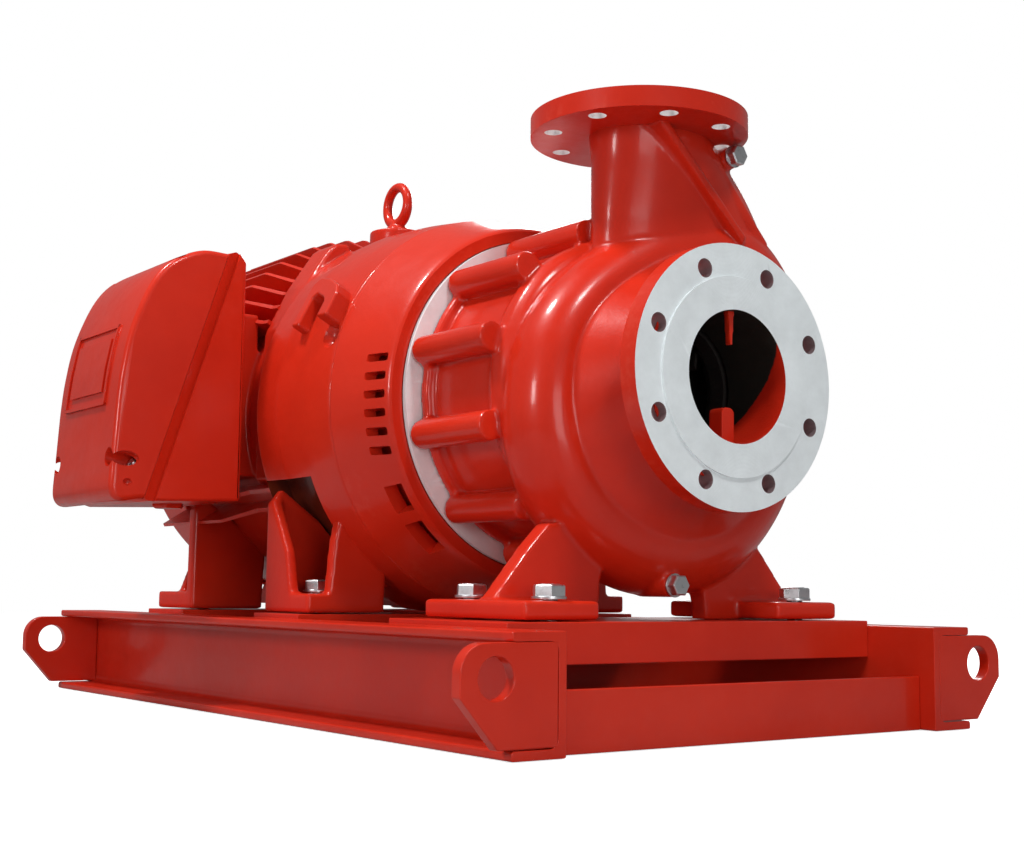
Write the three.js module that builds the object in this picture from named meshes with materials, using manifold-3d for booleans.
// Close-coupled centrifugal water pump set on a fabricated steel base frame.
// Millimetres, +Z up, +X towards the suction flange, +Y to the right of someone facing the suction.
// Origin: on the base underside, below the point where the discharge and shaft centrelines cross.
import * as THREE from "three";
import { mergeVertices } from "three/addons/utils/BufferGeometryUtils.js";
import Module from "manifold-3d";

const wasm = await Module();
wasm.setup();

// ---------- driving dimensions ----------
const GAP = 0.3; // clearance between pieces that rest on or fit into each other
const RUN = 0.6; // radial gap of faceted turning fits, more than the facets' own depth

const SHAFT_HEIGHT = 330; // base underside to shaft centreline
const FOOT_PLANE = -225; // machine feet, below the shaft centreline

const BASE = { rear: -813, front: 176, web: 237, toe: 283, height: 100, plate: 8 };
const BEAM = { top: 105 - GAP, bottom: 68, plate: 8 };
const PUMP_BEAM = { rear: -94, front: 94 };
const EAR = { plate: 12, reach: 332, hole: 298, holeZ: 64, holeR: 17, low: 9 };

const SUCTION = { face: 140, r: 125, thick: 20, raised: 2, raisedR: 94, bore: 62.5, pcd: 105 };
const DISCHARGE = { face: 280, r: 110, thick: 20, raised: 2, raisedR: 79, bore: 50, pcd: 90 };
const FLANGE_HOLE = 9;
const WALL = 11; // casing wall
const BARREL = { rear: -150, front: -27, r: 151, bore: 125, rimR: 161, rim: 12 };
const BOSS = { r: 15, pitch: 165, count: 12, front: -26 };
const PLUGS = { drain: [48, 4, -192], gauge: [46, 88, 246] }; // outer end of each boss
const PUMP_FOOT = { x: 80, inner: 113, outer: 200, thick: 19, holeX: 60, holeY: 157.5, web: 24 };

const PLATE = { rear: -157, front: -150, r: 178, open: 112 }; // adapter plate
const IMPELLER_EYE = 68;
const GASKET = 1.2;
const SEAL = { r: 44, front: -44, rear: -112 };

const MOTOR = { front: -157, split: -236, shellEnd: -400, rear: -665, shell: 222, core: 200 };
const PANEL = { rear: -447, bottom: -80, top: 140 }; // the shell runs further back beside the box
const POCKET = { rear: -394, front: -290, bottom: -200, floor: 198 }; // between the front foot's webs
const FIN = { tip: 243, thick: 5, pitch: 6, full: -497, low: -433 };
const MOTOR_FOOT = { frontX: -322, rearX: -608, half: 50, thick: 22, inner: 122, outer: 218, holeY: 178 };
const STATOR = { front: -375, rear: -590, outer: 184, inner: 112 };
const AIR_GAP = 1;
const COWL = { front: MOTOR.rear - 8 - GAP, rear: -780, r: 195, wall: 4 };
const BEARING_FRONT = { x: -246, half: 16, inner: 30, outer: 65 };
const BEARING_REAR = { x: MOTOR.rear + 2, half: 14, inner: 27, outer: 60 };

const BOX = { rear: -567, front: -390, inner: -240, wall: 6 }; // terminal box
const SPLIT_TOP = [-262, 172]; // the slanted joint between box and cover, as (y, z)
const SPLIT_FOOT = [-352, -106];
const EYE = { x: -460, pad: 247, ring: 23.5, wire: 6 };

const ROUND = 32; // facets of a large circle, the same for every mating pair
const SMALL = 16; // facets of a small circle
const HOLE = 8; // facets of a bolt hole

// ---------- solids ----------
// A closed geometry as a manifold-3d solid, turned to face outwards.
function solid(geometry) {
  const bare = geometry.clone();
  bare.deleteAttribute("normal");
  bare.deleteAttribute("uv");
  const merged = mergeVertices(bare, 1e-3);
  const vertProperties = merged.attributes.position.array;
  const triVerts = new Uint32Array(merged.index.array);
  const made = new wasm.Manifold(new wasm.Mesh({ numProp: 3, vertProperties, triVerts }));
  if (made.volume() > 0) return made;
  return new wasm.Manifold(
    new wasm.Mesh({ numProp: 3, vertProperties, triVerts: triVerts.reverse() }),
  );
}

// A manifold-3d solid as a three.js geometry with flat normals.
function geometryOf(made) {
  const mesh = made.getMesh();
  const geometry = new THREE.BufferGeometry();
  const xyz = new Float32Array((mesh.vertProperties.length / mesh.numProp) * 3);
  for (let i = 0; i < xyz.length / 3; i++)
    for (let k = 0; k < 3; k++) xyz[3 * i + k] = mesh.vertProperties[i * mesh.numProp + k];
  geometry.setAttribute("position", new THREE.BufferAttribute(xyz, 3));
  geometry.setIndex(new THREE.BufferAttribute(new Uint32Array(mesh.triVerts), 1));
  geometry.computeVertexNormals();
  return geometry;
}

const join = (...parts) => parts.flat().reduce((a, b) => a.add(b));
const cut = (body, ...tools) => tools.flat().reduce((a, b) => a.subtract(b), body);

// Turns a list of [x, radius] points about the X axis. The list closes on itself or on the axis.
function turnX(points, facets = ROUND) {
  const onAxis = points[0][1] === 0 && points[points.length - 1][1] === 0;
  const loop = onAxis ? points : [...points, points[0]];
  const profile = loop.map(([x, r]) => new THREE.Vector2(r, x));
  return solid(new THREE.LatheGeometry(profile, facets).rotateZ(-Math.PI / 2));
}

function cylinder(r, length, facets = SMALL) {
  return new THREE.CylinderGeometry(r, r, length, facets);
}
const rodX = (r, x0, x1, y, z, facets) =>
  solid(cylinder(r, x1 - x0, facets).rotateZ(-Math.PI / 2).translate((x0 + x1) / 2, y, z));
const rodY = (r, y0, y1, x, z, facets) =>
  solid(cylinder(r, y1 - y0, facets).translate(x, (y0 + y1) / 2, z));
const rodZ = (r, z0, z1, x, y, facets) =>
  solid(cylinder(r, z1 - z0, facets).rotateX(Math.PI / 2).translate(x, y, (z0 + z1) / 2));

function block(x0, x1, y0, y1, z0, z1) {
  const box = new THREE.BoxGeometry(x1 - x0, y1 - y0, z1 - z0);
  return solid(box.translate((x0 + x1) / 2, (y0 + y1) / 2, (z0 + z1) / 2));
}

function outline(points) {
  return new THREE.Shape(points.map(([a, b]) => new THREE.Vector2(a, b)));
}
function extruded(points, depth) {
  return new THREE.ExtrudeGeometry(outline(points), { depth, bevelEnabled: false });
}
// A (y, z) outline pushed along X, and an (x, z) outline pushed along Y.
function prismX(points, x0, x1) {
  const turn = new THREE.Matrix4().makeBasis(
    new THREE.Vector3(0, 1, 0),
    new THREE.Vector3(0, 0, 1),
    new THREE.Vector3(1, 0, 0),
  );
  return solid(extruded(points, x1 - x0).applyMatrix4(turn).translate(x0, 0, 0));
}
function prismY(points, y0, y1) {
  const turn = new THREE.Matrix4().makeBasis(
    new THREE.Vector3(1, 0, 0),
    new THREE.Vector3(0, 0, 1),
    new THREE.Vector3(0, -1, 0),
  );
  return solid(extruded(points, y1 - y0).applyMatrix4(turn).translate(0, y1, 0));
}

// Joins rings of equally many points into one skin; closed "across" links the last ring to the first.
function skin(rings, across) {
  const n = rings[0].length;
  const positions = rings.flat(2);
  const index = [];
  const last = across ? rings.length : rings.length - 1;
  for (let i = 0; i < last; i++)
    for (let j = 0; j < n; j++) {
      const a = i * n + j;
      const b = i * n + ((j + 1) % n);
      const c = ((i + 1) % rings.length) * n + j;
      const d = ((i + 1) % rings.length) * n + ((j + 1) % n);
      index.push(a, c, b, b, c, d);
    }
  if (!across)
    for (let j = 1; j < n - 1; j++) {
      const end = (rings.length - 1) * n;
      index.push(0, j, j + 1, end, end + j + 1, end + j);
    }
  const geometry = new THREE.BufferGeometry();
  geometry.setAttribute("position", new THREE.Float32BufferAttribute(positions, 3));
  geometry.setIndex(index);
  return solid(geometry);
}

// Places at equal angles round the X axis, from the top towards -Y.
function around(count, radius, first = 0) {
  return Array.from({ length: count }, (_, i) => {
    const a = THREE.MathUtils.degToRad(first + (i * 360) / count);
    return { a, y: -radius * Math.sin(a), z: radius * Math.cos(a) };
  });
}

// ---------- the exported group ----------
const group = new THREE.Group();
const machine = new THREE.Group(); // everything measured from the shaft centreline
machine.position.z = SHAFT_HEIGHT;
group.add(machine);

function finish(colour, roughness, metalness) {
  return () => new THREE.MeshStandardMaterial({ color: colour, roughness, metalness });
}
const redPaint = finish(0xc42a1c, 0.35, 0.1);
const bareSteel = finish(0xc9ced6, 0.45, 0.8);
const zinc = finish(0xb9bcc0, 0.35, 0.9);
const darkIron = finish(0x4a4a4c, 0.6, 0.6);
const bronze = finish(0x8a6a3a, 0.45, 0.8);
const copper = finish(0xa8622e, 0.5, 0.6);
const rubber = finish(0x1c1c1e, 0.8, 0);
const plastic = finish(0x2a2b2e, 0.6, 0);
const carbon = finish(0x303236, 0.4, 0.2);

function add(parent, name, made, material) {
  const mesh = new THREE.Mesh(geometryOf(made), material());
  mesh.name = name;
  parent.add(mesh);
}

// ---------- base frame ----------
const SIDES = { left: -1, right: 1 };

function sideChannel(side) {
  const { web, toe, height, plate } = BASE;
  const profile = [
    [web - plate, 0],
    [toe, 0],
    [toe, plate],
    [web, plate],
    [web, height - plate],
    [toe, height - plate],
    [toe, height],
    [web - plate, height],
  ].map(([y, z]) => [side * y, z]);
  return prismX(profile, BASE.rear, BASE.front);
}

// A lifting plate that closes the channel end and carries the eye outside the toes.
function liftingEar(side, x0) {
  const inner = BASE.web + GAP;
  const high = BASE.height - BASE.plate - GAP;
  const round = EAR.reach - 24;
  const arc = [];
  for (let i = 0; i <= 6; i++) {
    const a = (Math.PI / 2) * (1 - i / 6);
    arc.push([round + 24 * Math.cos(a), high - 24 + 24 * Math.sin(a)]);
  }
  const profile = [
    [inner, EAR.low],
    [EAR.reach - 36, EAR.low],
    [EAR.reach, 50],
    ...arc.reverse(),
    [inner, high],
  ].map(([y, z]) => [side * y, z]);
  const plate = prismX(profile, x0, x0 + EAR.plate);
  const eye = rodX(EAR.holeR, x0 - 1, x0 + EAR.plate + 1, side * EAR.hole, EAR.holeZ, 20);
  return plate.subtract(eye);
}

// An inverted channel between the side channels, with bolt holes through its top.
function supportBeam(x0, x1, holes) {
  const reach = BASE.web - BASE.plate - GAP;
  const { top, bottom, plate } = BEAM;
  const profile = [
    [x0, bottom],
    [x0 + plate, bottom],
    [x0 + plate, top - plate],
    [x1 - plate, top - plate],
    [x1 - plate, bottom],
    [x1, bottom],
    [x1, top],
    [x0, top],
  ];
  const drilled = holes.map(([x, y]) => rodZ(FLANGE_HOLE, bottom, top + 1, x, y));
  return cut(prismY(profile, -reach, reach), drilled);
}

function angleMember(heel, toe, height) {
  const reach = BASE.web - BASE.plate - GAP;
  const plate = BASE.plate * Math.sign(toe - heel);
  const profile = [
    [heel, 0],
    [toe, 0],
    [toe, BASE.plate],
    [heel + plate, BASE.plate],
    [heel + plate, height],
    [heel, height],
  ];
  return prismY(profile, -reach, reach);
}

function buildBase() {
  for (const [name, side] of Object.entries(SIDES)) {
    add(group, `side_channel_${name}`, sideChannel(side), redPaint);
    add(group, `lifting_ear_front_${name}`, liftingEar(side, BASE.front - EAR.plate), redPaint);
    add(group, `lifting_ear_rear_${name}`, liftingEar(side, BASE.rear), redPaint);
  }
  const pumpHoles = [];
  const motorHoles = [];
  for (const s of [-1, 1]) {
    for (const t of [-1, 1]) pumpHoles.push([s * PUMP_FOOT.holeX, t * PUMP_FOOT.holeY]);
    motorHoles.push(s * MOTOR_FOOT.holeY);
  }
  const motorBeam = (x) =>
    supportBeam(x - MOTOR_FOOT.half, x + MOTOR_FOOT.half, motorHoles.map((y) => [x, y]));
  add(group, "front_cross_member", angleMember(158, 100, 52), redPaint);
  add(group, "rear_cross_member", angleMember(-795, -737, 52), redPaint);
  add(group, "pump_support_beam", supportBeam(PUMP_BEAM.rear, PUMP_BEAM.front, pumpHoles), redPaint);
  add(group, "motor_support_beam_front", motorBeam(MOTOR_FOOT.frontX), redPaint);
  add(group, "motor_support_beam_rear", motorBeam(MOTOR_FOOT.rearX), redPaint);
  const reach = BASE.web - BASE.plate - GAP;
  add(group, "bottom_tie", block(-40, 40, -reach, reach, 0, 10), redPaint);
}

// ---------- pump casing ----------
// Outer radius of the volute at every 60 degrees from 20 degrees, measured from the top towards -Y.
const SCROLL = [150, 153, 182, 209, 213, 231];
const SCROLL_START = 20;

function scrollRadius(degrees) {
  const at = (((degrees - SCROLL_START) / 60) % 6 + 6) % 6;
  const i = Math.floor(at);
  const t = at - i;
  const [p0, p1, p2, p3] = [-1, 0, 1, 2].map((k) => SCROLL[(i + k + 6) % 6]);
  const m1 = (p2 - p0) / 2;
  const m2 = (p3 - p1) / 2;
  const t2 = t * t;
  const t3 = t2 * t;
  return (
    (2 * t3 - 3 * t2 + 1) * p1 + (t3 - 2 * t2 + t) * m1 + (3 * t2 - 2 * t3) * p2 + (t3 - t2) * m2
  );
}

// The scroll as rings of one cross-section; "inset" shrinks it for the water passage.
function scroll(inset, steps, arcPoints) {
  const rings = [];
  for (let i = 0; i < steps; i++) {
    const degrees = (360 * i) / steps;
    const a = THREE.MathUtils.degToRad(degrees);
    const radius = scrollRadius(degrees);
    const depth = 35 + (radius - 150) * 0.365 - inset;
    const width = 42 + (radius - 150) * 0.21 - inset;
    const centre = radius - inset - depth;
    const section = [];
    for (let k = 0; k <= arcPoints; k++) {
      const b = Math.PI * (k / arcPoints - 0.5);
      section.push([2 + width * Math.sin(b), centre + depth * Math.cos(b)]);
    }
    if (inset === 0) section.push([88, 90], [88, 70], [-36, 70]);
    else section.push([2 + width * 0.6, 104], [2 - width * 0.6, 104]);
    rings.push(section.map(([x, r]) => [x, -r * Math.sin(a), r * Math.cos(a)]));
  }
  return skin(rings, true);
}

// The discharge neck as elliptical sections [z, centre y, half x, half y].
const NECK = [
  [90, 70, 46, 96],
  [130, 64, 56, 116],
  [170, 56, 60, 110],
  [208, 43, 60, 96],
  [235, 30, 59, 82],
  [261, 15, 56, 68],
];
const NECK_BORE = [
  [100, 90, 30, 60],
  [140, 76, 40, 70],
  [190, 42, 44, 60],
  [235, 8, 46, 48],
  [281, 0, DISCHARGE.bore, DISCHARGE.bore],
];
function loftZ(sections, facets) {
  const rings = sections.map(([z, cy, hx, hy]) => {
    const ring = [];
    for (let k = 0; k < facets; k++) {
      const a = (2 * Math.PI * k) / facets;
      ring.push([hx * Math.cos(a), cy + hy * Math.sin(a), z]);
    }
    return ring;
  });
  return skin(rings, false);
}

function suctionFlange() {
  const { face, r, thick, raised, raisedR } = SUCTION;
  const back = face - raised - thick;
  return turnX([
    [55, 0],
    [55, 92],
    [back - 16, 84],
    [back, 92],
    [back, r],
    [face - raised, r],
    [face - raised, raisedR],
    [face, raisedR],
    [face, 0],
  ]);
}

function dischargeFlange() {
  const { face, r, thick, raised, raisedR } = DISCHARGE;
  const disc = rodZ(r, face - raised - thick, face - raised, 0, 0, ROUND);
  return disc.add(rodZ(raisedR, face - raised - 1, face, 0, 0, ROUND));
}

// A foot: a pad and one wide web across the machine, under the scroll.
function pumpFoot(side) {
  const { x, inner, outer, thick, web } = PUMP_FOOT;
  const top = FOOT_PLANE + thick;
  const [y0, y1] = side < 0 ? [-outer, -inner] : [inner, outer];
  const pad = block(-x, x, y0, y1, FOOT_PLANE, top);
  const shape = [
    [outer - 8, top - 1],
    [150, -158],
    [128, -136],
    [58, -136],
    [64, -170],
    [70, FOOT_PLANE],
    [inner + 4, FOOT_PLANE],
    [inner + 4, top - 1],
  ].map(([y, z]) => [side * y, z]);
  return pad.add(prismX(shape, 0, web));
}

// Round bosses on the barrel that take the casing bolts.
function boltBosses() {
  return around(BOSS.count, BOSS.pitch, 15).map(({ y, z }) =>
    rodX(BOSS.r, BARREL.rear, BOSS.front, y, z, 10),
  );
}

function casingOutside() {
  const { rear, front, r, rimR, rim } = BARREL;
  const barrel = turnX([
    [rear, 0],
    [rear, rimR],
    [rear + rim, rimR],
    [rear + rim, r],
    [front - 14, r],
    [front - 8, rimR - 5],
    [front + 6, rimR - 6],
    [front + 20, 140],
    [front + 20, 0],
  ]);
  const drainBoss = rodX(13, 0, PLUGS.drain[0], PLUGS.drain[1], PLUGS.drain[2], 12);
  const gaugeBoss = rodX(11, 0, PLUGS.gauge[0], PLUGS.gauge[1], PLUGS.gauge[2], 12);
  return join(
    barrel,
    boltBosses(),
    scroll(0, 36, 6),
    suctionFlange(),
    loftZ(NECK, 24),
    dischargeFlange(),
    pumpFoot(-1),
    pumpFoot(1),
    drainBoss,
    gaugeBoss,
  );
}

function volutePassages() {
  const chamber = turnX([
    [BARREL.rear - 1, 0],
    [BARREL.rear - 1, BARREL.bore],
    [-30, BARREL.bore],
    [-24, 131],
    [22, 131],
    [42, 82],
    [42, 78 + GAP],
    [58 + GAP, 78 + GAP],
    [58 + GAP, SUCTION.bore],
    [SUCTION.face + 1, SUCTION.bore],
    [SUCTION.face + 1, 0],
  ]);
  const flangeHoles = around(8, SUCTION.pcd, 22.5).map(({ y, z }) =>
    rodX(FLANGE_HOLE, SUCTION.face - 40, SUCTION.face + 1, y, z, HOLE),
  );
  const topHoles = around(8, DISCHARGE.pcd, 22.5).map(({ y, z }) =>
    rodZ(FLANGE_HOLE, DISCHARGE.face - 23, DISCHARGE.face + 1, y, z, HOLE),
  );
  const footHoles = [];
  for (const s of [-1, 1])
    for (const t of [-1, 1])
      footHoles.push(
        rodZ(FLANGE_HOLE, FOOT_PLANE - 1, -200, s * PUMP_FOOT.holeX, t * PUMP_FOOT.holeY, HOLE),
      );
  const studHoles = around(BOSS.count, BOSS.pitch, 15).map(({ y, z }) =>
    rodX(7, BARREL.rear - 1, -80, y, z, 6),
  );
  const plugHoles = Object.values(PLUGS).map(([x, y, z]) => rodX(7, x - 26, x + 1, y, z, 8));
  return [
    chamber,
    scroll(WALL, 24, 4),
    loftZ(NECK_BORE, 16),
    ...flangeHoles,
    ...topHoles,
    ...footHoles,
    ...studHoles,
    ...plugHoles,
  ];
}

// Straightening ribs at the top and bottom of the suction passage.
function suctionRibs() {
  const bore = SUCTION.bore + 2;
  return [block(66, 104, -4, 4, 40, bore), block(66, 112, -9, 9, -bore, -38)];
}

function buildCasing() {
  const casing = join(cut(casingOutside(), volutePassages()), suctionRibs());
  add(machine, "volute_casing", casing, redPaint);
  const wearRing = turnX([
    [43, IMPELLER_EYE + RUN],
    [43, 78],
    [58, 78],
    [58, IMPELLER_EYE + RUN],
  ]);
  add(machine, "casing_wear_ring", wearRing, bronze);
  const gasket = turnX([
    [PLATE.front - GASKET + GAP, 127],
    [PLATE.front - GASKET + GAP, 149],
    [PLATE.front - GAP, 149],
    [PLATE.front - GAP, 127],
  ]);
  add(machine, "casing_gasket", gasket, rubber);
  add(machine, "drain_plug", plug(PLUGS.drain), zinc);
  add(machine, "gauge_plug", plug(PLUGS.gauge), zinc);
}

// A hexagon-headed pipe plug that leaves its boss along +X.
function plug([x, y, z]) {
  const head = rodX(11, x + GAP, x + 11, y, z, 6);
  return head.add(rodX(6.6, x - 22, x + GAP + 1, y, z, 8));
}

// ---------- adapter plate and shaft seal ----------
function buildAdapter() {
  const { rear, front, r, open } = PLATE;
  const bore = BARREL.bore - GAP;
  const seat = front - GASKET;
  const plate = turnX([
    [rear, open],
    [rear, r],
    [seat, r],
    [seat, bore],
    [-34, bore],
    [-34, 26],
    [SEAL.front, 26],
    [SEAL.front, SEAL.r],
    [SEAL.rear, SEAL.r],
    [SEAL.rear, SEAL.r + 14],
    [-50, SEAL.r + 14],
    [-50, open],
  ]);
  const holes = around(BOSS.count, BOSS.pitch, 15).map(({ y, z }) =>
    rodX(7, rear - 1, seat + 1, y, z, 6),
  );
  add(machine, "adapter_plate", cut(plate, holes), bareSteel);
  around(2, BOSS.pitch, 75).forEach(({ y, z }, i) => {
    const shank = rodX(5.6, rear - 1, -90, y, z, 6);
    const head = rodX(10, rear - 8.5, rear - GAP, y, z, 6);
    add(machine, `casing_bolt_${i + 1}`, shank.add(head), zinc);
  });
  const seatRing = turnX([
    [-111, 27],
    [-111, SEAL.r - GAP],
    [-101, SEAL.r - GAP],
    [-101, 27],
  ], 24);
  add(machine, "seal_stationary_seat", seatRing, carbon);
  const face = turnX([
    [-100.7, 24.3],
    [-100.7, 38],
    [-90, 38],
    [-90, 24.3],
  ], 24);
  add(machine, "seal_rotating_face", face, carbon);
  add(machine, "seal_spring", sealSpring(), bareSteel);
}

function sealSpring() {
  class Coil extends THREE.Curve {
    getPoint(t, target = new THREE.Vector3()) {
      const a = t * Math.PI * 2 * 3.5;
      return target.set(-87 + 28 * t, 31 * Math.cos(a), 31 * Math.sin(a));
    }
  }
  const wire = outline([[2.2, 0], [0, 2.2], [-2.2, 0], [0, -2.2]]);
  return solid(new THREE.ExtrudeGeometry(wire, { steps: 24, extrudePath: new Coil() }));
}

// ---------- rotor: impeller, shaft, motor core, fan ----------
function impeller() {
  const shrouds = [
    turnX([
      [-24, 17 + GAP],
      [-24, 32],
      [-18, 40],
      [-18, 127],
      [-12, 127],
      [-8, 60],
      [6, 34],
      [18, 30],
      [18, 17 + GAP],
    ]),
    turnX([
      [12, 127],
      [17, 127],
      [38, 71],
      [41, IMPELLER_EYE],
      [58, IMPELLER_EYE],
      [58, 61],
      [40, 61],
      [30, 66],
    ]),
  ];
  const vanes = around(6, 1).map(({ a }) => {
    const path = [];
    for (let i = 0; i <= 4; i++) {
      const r = 56 + 70 * (i / 4);
      const turn = a + 1.15 * (i / 4);
      path.push([r, turn]);
    }
    const at = (r, turn) => [-r * Math.sin(turn), r * Math.cos(turn)];
    const outer = path.map(([r, turn]) => at(r, turn));
    const inner = path.map(([r, turn]) => at(r, turn - 5 / r)).reverse();
    return prismX([...outer, ...inner], -14, 30);
  });
  const envelope = turnX([
    [-14, 0],
    [-14, 126.5],
    [14, 126.5],
    [31, 76],
    [31, 0],
  ]);
  return join(shrouds, vanes.map((v) => v.intersect(envelope)));
}

const KEY = { x0: -20, x1: 14, half: 4, low: 13, high: 21 };
const FAN_SEAT = 22;

function rotorShaft() {
  const { rear } = MOTOR;
  const shaft = turnX([
    [40, 0],
    [40, 12],
    [19, 12],
    [19, 17],
    [-25, 17],
    [-25, 20],
    [-118, 20],
    [-118, 27],
    [-229, 27],
    [-229, BEARING_FRONT.inner],
    [-263, BEARING_FRONT.inner],
    [-263, 36],
    [-300, 36],
    [-300, 40],
    [rear + 50, 40],
    [rear + 50, 34],
    [rear + 17, 34],
    [rear + 17, BEARING_REAR.inner],
    [rear - 13, BEARING_REAR.inner],
    [rear - 13, FAN_SEAT],
    [rear - 72, FAN_SEAT],
    [rear - 72, 0],
  ], SMALL);
  const { x0, x1, half, low, high } = KEY;
  return shaft.subtract(block(x0 - GAP, x1 + GAP, -half - GAP, half + GAP, low - GAP, high));
}

function ring(x0, x1, r0, r1, facets = 24) {
  return turnX([
    [x0, r0],
    [x0, r1],
    [x1, r1],
    [x1, r0],
  ], facets);
}

function coolingFan() {
  const { rear } = MOTOR;
  const hub = ring(rear - 68, rear - 22.5, FAN_SEAT + GAP, 42);
  const disc = ring(rear - 36, rear - 31, 40, 172, 28);
  const blades = around(8, 1).map(({ a }) => {
    const blade = new THREE.BoxGeometry(38, 4, 114);
    return solid(blade.translate(rear - 54, 0, 107).rotateX(a));
  });
  return join(hub, disc, blades);
}

// Balls held in a cage, as one piece.
function ballCage({ x, inner, outer }) {
  const middle = (inner + outer) / 2;
  const cage = ring(x - 4, x + 4, middle - 3.5, middle + 3.5, SMALL);
  const balls = around(8, middle).map(({ y, z }) =>
    solid(new THREE.SphereGeometry((outer - inner) / 5, 6, 4).translate(x, y, z)),
  );
  return join(cage, balls);
}

function addBearing(name, bearing) {
  const { x, half, inner, outer } = bearing;
  const third = (outer - inner) / 3.6;
  add(machine, `${name}_outer_ring`, ring(x - half, x + half, outer - third, outer), bareSteel);
  add(machine, `${name}_inner_ring`, ring(x - half, x + half, inner + GAP, inner + third), bareSteel);
  add(machine, `${name}_ball_cage`, ballCage(bearing), bronze);
}

function buildRotor() {
  const { x0, x1, half, low, high } = KEY;
  const sleeve = ring(-117, -25.5, 20 + GAP, 24);
  const nut = rodX(20, 19 + GAP, 38, 0, 0, 6).subtract(rodX(12 + GAP, 10, 45, 0, 0, 24));
  const key = block(x0, x1, -half, half, low, high - GAP);
  const keyway = block(x0 - 6, x1 + 6, -half - GAP, half + GAP, 0, high);
  add(machine, "impeller", impeller().subtract(keyway), bronze);
  add(machine, "impeller_nut", nut, zinc);
  add(machine, "impeller_key", key, bareSteel);
  add(machine, "shaft_sleeve", sleeve, bareSteel);
  add(machine, "motor_shaft", rotorShaft(), bareSteel);
  const { front, rear, inner } = STATOR;
  add(machine, "rotor_core", ring(rear, front, 40 + GAP, inner - AIR_GAP, 32), darkIron);
  add(machine, "cooling_fan", coolingFan(), plastic);
  addBearing("drive_end_bearing", BEARING_FRONT);
  addBearing("rear_end_bearing", BEARING_REAR);
}

// ---------- motor ----------
const LOUVRE = { rear: -191, front: -164, count: 6, top: 36, pitch: 19, half: 4 };

// The same block on the left and on the right of the machine.
function bothSides(x0, x1, y0, y1, z0, z1) {
  return [block(x0, x1, -y1, -y0, z0, z1), block(x0, x1, y0, y1, z0, z1)];
}

function driveEndShield() {
  const shell = turnX([
    [MOTOR.front - GAP, 130],
    [MOTOR.front - GAP, 153],
    [-168, 153],
    [-168, 176.5],
    [MOTOR.front - GAP, 176.5],
    [MOTOR.front - GAP, 191],
    [-163, 195],
    [-185, 202],
    [-216, 211],
    [MOTOR.split, 217],
    [MOTOR.split, 206],
    [-248, 206],
    [-248, 196],
    [-240, 196],
    [-240, 80],
    [-264, 80],
    [-264, BEARING_FRONT.outer + GAP],
    [-229, BEARING_FRONT.outer + GAP],
    [-229, 33],
    [-219, 33],
    [-219, 84],
    [-228, 90],
    [-228, 196],
    [-200, 194],
    [-176, 182],
    [-174, 130],
  ]);
  const louvres = [];
  for (let i = 0; i < LOUVRE.count; i++) {
    const z = LOUVRE.top - i * LOUVRE.pitch;
    louvres.push(...bothSides(LOUVRE.rear, LOUVRE.front, 182, 214, z - LOUVRE.half, z + LOUVRE.half));
  }
  return cut(shell, louvres);
}

// A cast foot pair at one end: two pads with two cross gussets each.
function motorFeet(x) {
  const { half, inner, outer, thick } = MOTOR_FOOT;
  const top = FOOT_PLANE + thick;
  const parts = [];
  for (const s of [-1, 1]) {
    const [y0, y1] = s < 0 ? [-outer, -inner] : [inner, outer];
    parts.push(block(x - half, x + half, y0, y1, FOOT_PLANE, top));
    const web = [
      [s * (outer - 4), top - 1],
      [s * 196, -150],
      [s * 178, -95],
      [s * 120, -150],
      [s * inner, top - 1],
    ];
    parts.push(prismX(web, x - half, x - half + 14));
    parts.push(prismX(web, x + half - 16, x + half));
  }
  return parts;
}

function coolingFins() {
  const fins = [];
  for (let degrees = FIN.pitch; degrees < 360; degrees += FIN.pitch) {
    const fromFoot = Math.abs(degrees - 180);
    if (fromFoot < 60 && fromFoot > 20) continue; // the feet are here
    if (degrees > 60 && degrees < 110) continue; // the terminal box pad is here
    const profile = [
      [MOTOR.rear, 196],
      [MOTOR.rear, FIN.tip],
      [FIN.full, FIN.tip],
      [FIN.low, MOTOR.shell - 2],
      [MOTOR.shellEnd + 4, MOTOR.shell - 2],
      [MOTOR.shellEnd + 4, 196],
    ];
    const fin = new THREE.ExtrudeGeometry(outline(profile), {
      depth: FIN.thick,
      bevelEnabled: false,
    });
    fin.translate(0, 0, -FIN.thick / 2).rotateX(Math.PI / 2);
    fins.push(solid(fin.rotateX(THREE.MathUtils.degToRad(degrees))));
  }
  return fins;
}

// The smooth shell, its longer side panels and the core that carries the fins.
function motorBody() {
  const { split, shellEnd, rear, shell, core } = MOTOR;
  const body = turnX([
    [split - GAP, 0],
    [split - GAP, 217],
    [-281, shell],
    [-338, shell + 3],
    [shellEnd + 6, shell],
    [shellEnd, shell - 4],
    [shellEnd, core],
    [rear, core],
    [rear, 0],
  ]);
  const panelRing = ring(PANEL.rear, shellEnd + 6, core - 4, shell, ROUND);
  const panels = bothSides(PANEL.rear - 1, shellEnd + 6, 100, 240, PANEL.bottom, PANEL.top).map((half) =>
    panelRing.intersect(half),
  );
  const pocketRing = ring(POCKET.rear, POCKET.front, POCKET.floor, 240, ROUND);
  const pockets = bothSides(
    POCKET.rear - 1,
    POCKET.front + 1,
    90,
    240,
    POCKET.bottom,
    PANEL.bottom,
  ).map((half) => pocketRing.intersect(half));
  return cut(join(body, panels), pockets);
}

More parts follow.
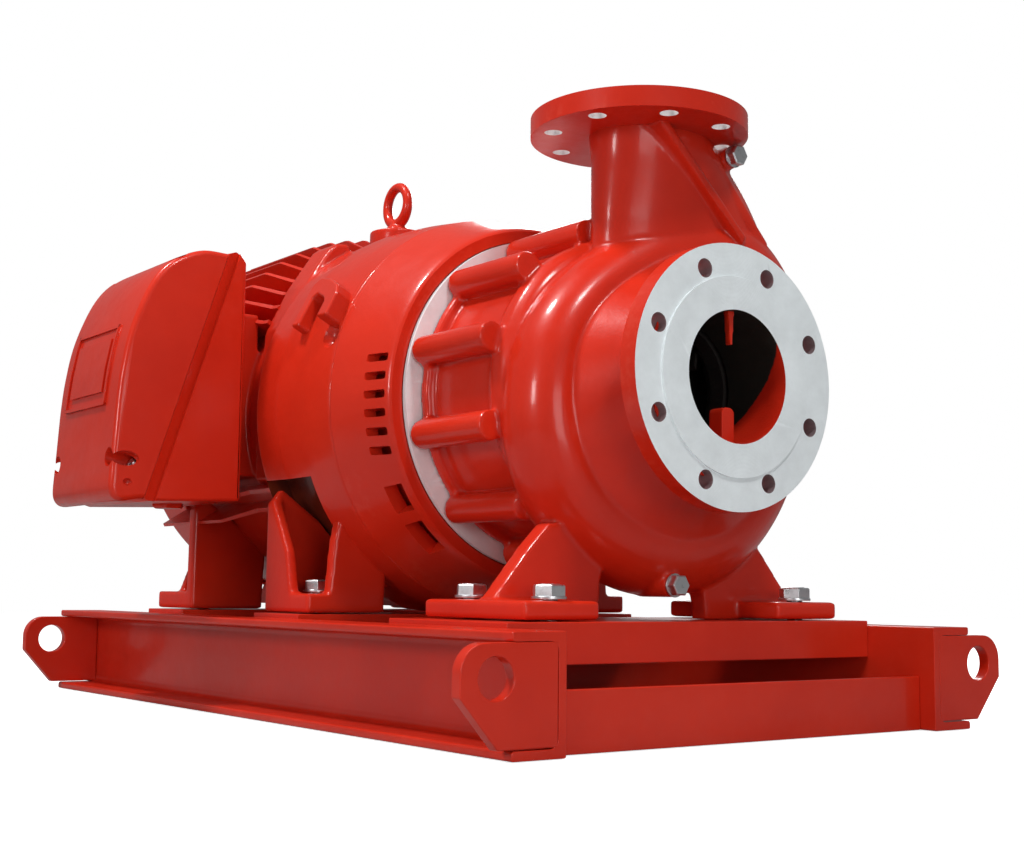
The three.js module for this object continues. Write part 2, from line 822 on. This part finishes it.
function motorFrame() {
  const { split, rear, shell } = MOTOR;
  const eyePad = rodZ(34, 190, EYE.pad, EYE.x, 0, 20);
  const boxPad = block(BOX.rear + 22, BOX.front - 14, BOX.inner + GAP, -180, -70, 120);
  const lugs = [-1, 1].map((s) => {
    const pad = new THREE.BoxGeometry(92, 44, 30).translate(-290, 0, shell + 1);
    return solid(pad.rotateX(s * THREE.MathUtils.degToRad(57)));
  });
  const outside = join(
    motorBody(),
    eyePad,
    boxPad,
    lugs,
    coolingFins(),
    motorFeet(MOTOR_FOOT.frontX),
    motorFeet(MOTOR_FOOT.rearX),
  );
  const bore = turnX([
    [split + 1, 0],
    [split + 1, 206 + GAP],
    [split - 16, 206 + GAP],
    [split - 26, 186],
    [STATOR.front + 12, STATOR.outer + GAP],
    [STATOR.rear - 18, STATOR.outer + GAP],
    [STATOR.rear - 24, 190],
    [rear - 1, 190],
    [rear - 1, 0],
  ]);
  const holes = [MOTOR_FOOT.frontX, MOTOR_FOOT.rearX].flatMap((x) =>
    [-1, 1].map((s) => rodZ(9.5, FOOT_PLANE - 1, -196, x, s * MOTOR_FOOT.holeY, HOLE)),
  );
  const eyeHole = rodZ(8.5, 215, EYE.pad + 1, EYE.x, 0, 10);
  const underside = block(rear - 1, split, -115, 115, -260, FOOT_PLANE + 7);
  return cut(outside, bore, holes, eyeHole, underside);
}

function rearShield() {
  const { rear } = MOTOR;
  const seat = COWL.r - COWL.wall - RUN;
  return turnX([
    [rear + 10, 180],
    [rear + 10, 189.7],
    [rear - GAP, 189.7],
    [rear - GAP, 205],
    [rear - 8, 205],
    [rear - 8, seat],
    [rear - 14, seat],
    [rear - 14, 84],
    [rear - 22, 80],
    [rear - 22, 30],
    [rear - 14, 30],
    [rear - 14, BEARING_REAR.outer + GAP],
    [rear + 20, BEARING_REAR.outer + GAP],
    [rear + 20, 75],
    [rear - 2, 75],
    [rear - 2, 180],
  ]);
}

function fanCowl() {
  const { front, rear, r, wall } = COWL;
  const cup = turnX([
    [front, r - wall],
    [front, r],
    [rear + 14, r],
    [rear, r - 14],
    [rear, 0],
    [rear + wall, 0],
    [rear + wall, r - 16],
    [rear + 16, r - wall],
  ]);
  const slots = around(12, 1).map(({ a }) => {
    const slot = new THREE.BoxGeometry(20, 14, 100);
    return solid(slot.translate(rear, 0, 108).rotateX(a + 0.1));
  });
  return cut(cup, slots);
}

function eyebolt() {
  const { x, pad, ring: major, wire } = EYE;
  const centre = pad + 6 + major + wire;
  const eye = solid(
    new THREE.TorusGeometry(major, wire, 8, 20).rotateX(Math.PI / 2).translate(x, 0, centre),
  );
  const collar = rodZ(15, pad + GAP, pad + 9, x, 0, SMALL);
  const shank = rodZ(8, pad - 26, pad + 4, x, 0, 10);
  return join(eye, collar, shank);
}

function buildMotor() {
  add(machine, "drive_end_shield", driveEndShield(), redPaint);
  add(machine, "motor_frame", motorFrame(), redPaint);
  add(machine, "rear_end_shield", rearShield(), redPaint);
  add(machine, "fan_cowl", fanCowl(), redPaint);
  add(machine, "eyebolt", eyebolt(), redPaint);
  const { front, rear, outer, inner } = STATOR;
  add(machine, "stator_core", ring(rear, front, inner, outer, ROUND), darkIron);
  const winding = (x0, x1) => ring(x0, x1, inner + 12, outer - 22);
  add(machine, "stator_winding_front", winding(front + GAP, front + 46), copper);
  add(machine, "stator_winding_rear", winding(rear - 46, rear - GAP), copper);
}

// ---------- terminal box ----------
// Outer (y, z) outline from the joint's top round the outside to the joint's foot.
const COVER_OUTLINE = [
  SPLIT_TOP,
  [-315, 163],
  [-336, 151],
  [-350, 130],
  [-368, 92],
  [-380, 55],
  [-384, -3],
  [-387, -98],
  [-380, -108],
  SPLIT_FOOT,
];
const COVER_CAVITY = [
  [-240, 200],
  [-266, 165],
  [-312, 157],
  [-331, 146],
  [-344, 127],
  [-361, 90],
  [-373, 54],
  [-378, -4],
  [-380, -99],
  [-346, -99],
  [-300, -99],
];

const splitRun = [SPLIT_TOP[0] - SPLIT_FOOT[0], SPLIT_TOP[1] - SPLIT_FOOT[1]];
const splitLength = Math.hypot(...splitRun);
const along = splitRun.map((v) => v / splitLength); // up the joint
const outward = [-along[1], along[0]]; // away from the motor, square to the joint

const shift = (points, distance) =>
  points.map(([y, z]) => [y + outward[0] * distance, z + outward[1] * distance]);
// A point at a height up the joint and a distance out from it.
const onSplit = (up, out) => [
  SPLIT_FOOT[0] + along[0] * up + outward[0] * out,
  SPLIT_FOOT[1] + along[1] * up + outward[1] * out,
];

// A rod square to the joint, from one distance out to another.
function splitRod(r, x, up, from, to, facets) {
  const [y, z] = onSplit(up, (from + to) / 2);
  const tilt = Math.atan2(outward[1], outward[0]);
  return solid(cylinder(r, to - from, facets).rotateX(tilt).translate(x, y, z));
}

const SCREW = { inset: 12, low: 30, high: splitLength - 28, seat: 16 };
const screwPlaces = [
  [BOX.front - SCREW.inset, SCREW.low],
  [BOX.rear + SCREW.inset, SCREW.low],
  [BOX.front - SCREW.inset, SCREW.high],
  [BOX.rear + SCREW.inset, SCREW.high],
];

function boxBase() {
  const { front, rear, inner, wall } = BOX;
  const shape = [
    [inner, -104],
    [inner, 165],
    [inner - 10, 176],
    SPLIT_TOP,
    SPLIT_FOOT,
    [-345, -108],
  ];
  const cavity = [
    [inner - wall, -98],
    [inner - wall, 158],
    [-300, 158],
    [-400, -98],
  ];
  const shell = cut(prismX(shape, rear, front), prismX(cavity, rear + wall, front - wall));
  const posts = screwPlaces.map(([x, up]) => splitRod(9, x, up, -30, -2, 10));
  const room = [
    [inner - 1, -103],
    [inner - 1, 164],
    [inner - 10, 172],
    onSplit(splitLength - 2, -1),
    onSplit(2, -1),
  ];
  const inside = prismX(room, rear + 1, front - 1);
  const cable = rodZ(13, -120, -90, -470, -300, 16);
  const screws = screwPlaces.map(([x, up]) => splitRod(4.6, x, up, -24, 1, HOLE));
  return cut(join(shell, posts.map((p) => p.intersect(inside))), cable, screws);
}

function boxCover() {
  const { front, rear, wall } = BOX;
  const lift = 2.6;
  const whole = prismX(shift(COVER_OUTLINE, lift), rear, front);
  const shell = cut(whole, prismX(COVER_CAVITY, rear + wall, front - wall));
  const posts = screwPlaces.map(([x, up]) => splitRod(11, x, up, lift, 60, HOLE).intersect(whole));
  const recess = screwPlaces.map(([x, up]) => splitRod(10, x, up, SCREW.seat, 80, HOLE));
  const holes = screwPlaces.map(([x, up]) => splitRod(4.6, x, up, 0, SCREW.seat + 1, HOLE));
  return cut(join(shell, posts), recess, holes);
}

function boxGasket() {
  const { front, rear } = BOX;
  const sheet = (inset, from, to) => {
    const far = splitLength - inset;
    const shape = [onSplit(inset, from), onSplit(far, from), onSplit(far, to), onSplit(inset, to)];
    return prismX(shape, rear + inset, front - inset);
  };
  const holes = screwPlaces.map(([x, up]) => splitRod(5, x, up, -1, 4, HOLE));
  return cut(sheet(2, GAP, 2.2), sheet(24, -1, 4), holes);
}

function terminalBoard() {
  const face = BOX.inner - BOX.wall - GAP;
  const board = block(-535, -425, face - 24, face, 0, 74);
  const studs = [];
  for (const x of [-510, -480, -450])
    for (const z of [22, 52]) studs.push(rodY(5, face - 46, face - 20, x, z, 8));
  return join(board, studs);
}

function buildTerminalBox() {
  add(machine, "terminal_box_base", boxBase(), redPaint);
  add(machine, "terminal_box_cover", boxCover(), redPaint);
  add(machine, "terminal_box_gasket", boxGasket(), rubber);
  add(machine, "terminal_board", terminalBoard(), plastic);
  screwPlaces.forEach(([x, up], i) => {
    const shank = splitRod(4, x, up, -16, SCREW.seat + 2, HOLE);
    const head = splitRod(8, x, up, SCREW.seat + GAP, SCREW.seat + 7, HOLE);
    add(machine, `cover_screw_${i + 1}`, shank.add(head), zinc);
  });
}

// ---------- foot bolts ----------
// A hexagon bolt with its washer, standing on a pad and reaching through the beam below.
function footBolt(x, y, padTop) {
  const base = padTop + GAP;
  const washer = rodZ(16, base, base + 3, x, y, 12);
  const head = rodZ(14, base + 2, base + 14, x, y, 6);
  const shank = rodZ(8, FOOT_PLANE - 22, base + 1, x, y, HOLE);
  return join(washer, head, shank);
}

function buildFootBolts() {
  let i = 0;
  for (const x of [-PUMP_FOOT.holeX, PUMP_FOOT.holeX])
    for (const s of [-1, 1]) {
      const bolt = footBolt(x, s * PUMP_FOOT.holeY, FOOT_PLANE + PUMP_FOOT.thick);
      add(machine, `pump_foot_bolt_${++i}`, bolt, zinc);
    }
  i = 0;
  for (const x of [MOTOR_FOOT.rearX, MOTOR_FOOT.frontX])
    for (const s of [-1, 1]) {
      const bolt = footBolt(x, s * MOTOR_FOOT.holeY, FOOT_PLANE + MOTOR_FOOT.thick);
      add(machine, `motor_foot_bolt_${++i}`, bolt, zinc);
    }
}

buildBase();
buildCasing();
buildAdapter();
buildRotor();
buildMotor();
buildTerminalBox();
buildFootBolts();

export default group;
